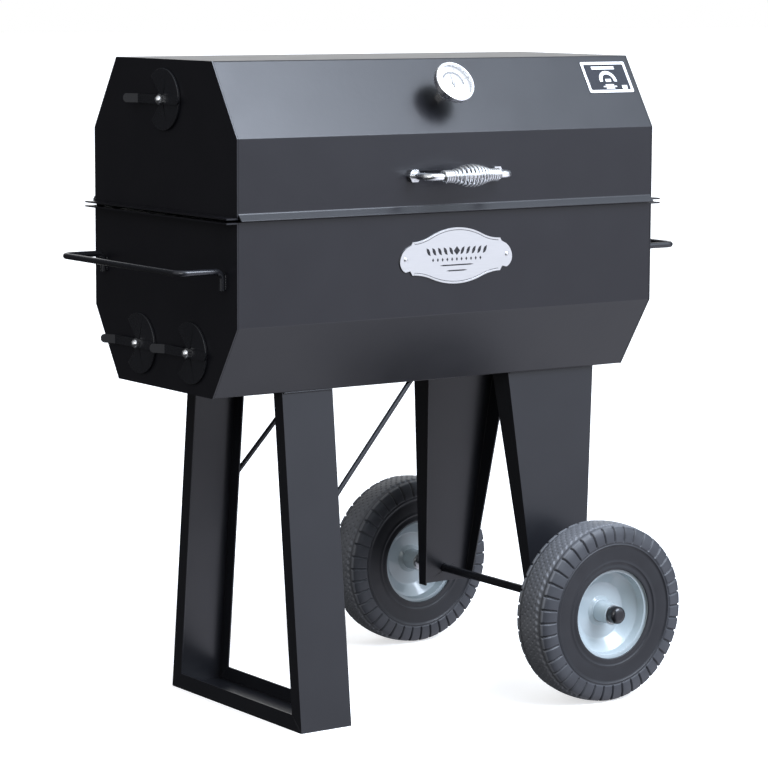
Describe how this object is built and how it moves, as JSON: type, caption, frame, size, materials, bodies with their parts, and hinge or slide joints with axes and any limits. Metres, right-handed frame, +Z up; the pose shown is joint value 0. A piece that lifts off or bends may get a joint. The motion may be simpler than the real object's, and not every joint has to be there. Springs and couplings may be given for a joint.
{
  "type": "wheeled charcoal barbecue cooker",
  "caption": "Wheeled charcoal cooker: eight-sided sheet-steel firebox under a hinged lid, foot frame at one end and two wheels at the other, with dampers, thermometer and handles.",
  "frame": {"origin": "on the floor under the middle of the firebox", "axes": "+Z up, -Y towards the cook at the front, +X towards the wheel end"},
  "size_m": [1.1074, 0.736, 1.1888],
  "materials": {
    "black_body": "semi-gloss high-temperature black paint",
    "black_frame": "semi-gloss black paint",
    "black_trim": "black paint on rods, dampers and hinges",
    "bright_chrome": "polished",
    "zinc_steel": "zinc plated",
    "plaque_metal": "brushed",
    "dial_white": "printed dial",
    "pointer_black": "black enamel",
    "dial_glass": "clear",
    "label_print": "black printed label with a white border and bars",
    "tyre_rubber": "flat-free rubber",
    "rim_paint": "grey-blue gloss paint",
    "hub_steel": "grey-blue gloss paint on the hub tube",
    "cap_black": "black cap",
    "seasoned_steel": "seasoned bare steel"
  },
  "bodies": {
    "cooker": {"firebox_shell": "black_body", "left_end_plate": "black_body", "right_end_plate": "black_body", "front_left_leg": "black_frame", "back_left_leg": "black_frame", "foot_channel": "black_frame", "front_right_leg": "black_frame", "back_right_leg": "black_frame", "front_brace": "black_trim", "back_brace": "black_trim", "axle": "black_trim", "axle_washers": "zinc_steel", "axle_caps": "cap_black", "left_end_handle": "black_trim", "right_end_handle": "black_trim", "damper_bolts": "zinc_steel", "damper_cap_nuts": "bright_chrome", "hinge_body_leaves": "black_trim", "hinge_pins": "zinc_steel", "nameplate": "plaque_metal", "nameplate_rivets": "plaque_metal", "grate_ledges": "black_frame"},
    "lid": {"lid_shell": "black_body", "lid_left_end": "black_body", "lid_right_end": "black_body", "hinge_lid_leaves": "black_trim", "lid_handle_rod": "bright_chrome", "lid_handle_coil": "bright_chrome", "lid_handle_nuts": "bright_chrome", "thermometer_case": "bright_chrome", "thermometer_bezel": "bright_chrome", "thermometer_dial": "dial_white", "thermometer_glass": "dial_glass", "thermometer_nut": "bright_chrome", "lid_label": "label_print", "lid_damper_bolts": "zinc_steel", "lid_damper_cap_nuts": "bright_chrome"},
    "pointer": {"thermometer_needle": "pointer_black"},
    "front_wheel": {"front_wheel_tyre": "tyre_rubber", "front_wheel_rim": "rim_paint", "front_wheel_disc": "rim_paint", "front_wheel_hub": "hub_steel", "front_wheel_bearings": "zinc_steel"},
    "back_wheel": {"back_wheel_tyre": "tyre_rubber", "back_wheel_rim": "rim_paint", "back_wheel_disc": "rim_paint", "back_wheel_hub": "hub_steel", "back_wheel_bearings": "zinc_steel"},
    "left_top_vent": {"left_top_damper": "black_trim", "left_top_damper_handle": "black_trim"},
    "left_front_vent": {"left_front_damper": "black_trim", "left_front_damper_handle": "black_trim"},
    "left_back_vent": {"left_back_damper": "black_trim", "left_back_damper_handle": "black_trim"},
    "right_top_vent": {"right_top_damper": "black_trim", "right_top_damper_handle": "black_trim"},
    "right_front_vent": {"right_front_damper": "black_trim", "right_front_damper_handle": "black_trim"},
    "right_back_vent": {"right_back_damper": "black_trim", "right_back_damper_handle": "black_trim"},
    "grate": {"cooking_grate": "seasoned_steel"},
    "pan": {"charcoal_pan": "seasoned_steel"}
  },
  "joints": [
    {"name": "lid_hinge", "type": "hinge", "parent": "cooker", "child": "lid", "pos_m": [0, 0.2524, 0.926], "axis": [-1, 0, 0], "range_deg": [0, 95]},
    {"name": "left_top_vent_turn", "type": "hinge", "parent": "lid", "child": "left_top_vent", "pos_m": [-0.46, -0.006, 1.118], "axis": [1, 0, 0], "range_deg": [0, 100]},
    {"name": "left_front_vent_turn", "type": "hinge", "parent": "cooker", "child": "left_front_vent", "pos_m": [-0.46, -0.094, 0.678], "axis": [1, 0, 0], "range_deg": [0, 100]},
    {"name": "left_back_vent_turn", "type": "hinge", "parent": "cooker", "child": "left_back_vent", "pos_m": [-0.46, 0.082, 0.678], "axis": [1, 0, 0], "range_deg": [0, 100]},
    {"name": "right_top_vent_turn", "type": "hinge", "parent": "lid", "child": "right_top_vent", "pos_m": [0.46, -0.006, 1.118], "axis": [1, 0, 0], "range_deg": [0, 100]},
    {"name": "right_front_vent_turn", "type": "hinge", "parent": "cooker", "child": "right_front_vent", "pos_m": [0.46, -0.094, 0.678], "axis": [1, 0, 0], "range_deg": [0, 100]},
    {"name": "right_back_vent_turn", "type": "hinge", "parent": "cooker", "child": "right_back_vent", "pos_m": [0.46, 0.082, 0.678], "axis": [1, 0, 0], "range_deg": [0, 100]},
    {"name": "pointer_turn", "type": "hinge", "parent": "lid", "child": "pointer", "pos_m": [0, -0.23938, 1.14596], "axis": [0, -0.8478, 0.5303], "range_deg": [-130, 130], "stiffness_Nm_per_rad": 0.004},
    {"name": "front_wheel_spin", "type": "hinge", "parent": "cooker", "child": "front_wheel", "pos_m": [0.296, -0.3056, 0.1675], "axis": [0, 1, 0], "continuous": true},
    {"name": "back_wheel_spin", "type": "hinge", "parent": "cooker", "child": "back_wheel", "pos_m": [0.296, 0.3056, 0.1675], "axis": [0, 1, 0], "continuous": true},
    {"name": "grate_lift", "type": "slide", "parent": "cooker", "child": "grate", "axis": [0, 0, 1], "range_m": [0, 0.08]},
    {"name": "pan_lift", "type": "slide", "parent": "cooker", "child": "pan", "axis": [0, 0, 1], "range_m": [0, 0.1]}
  ]
}
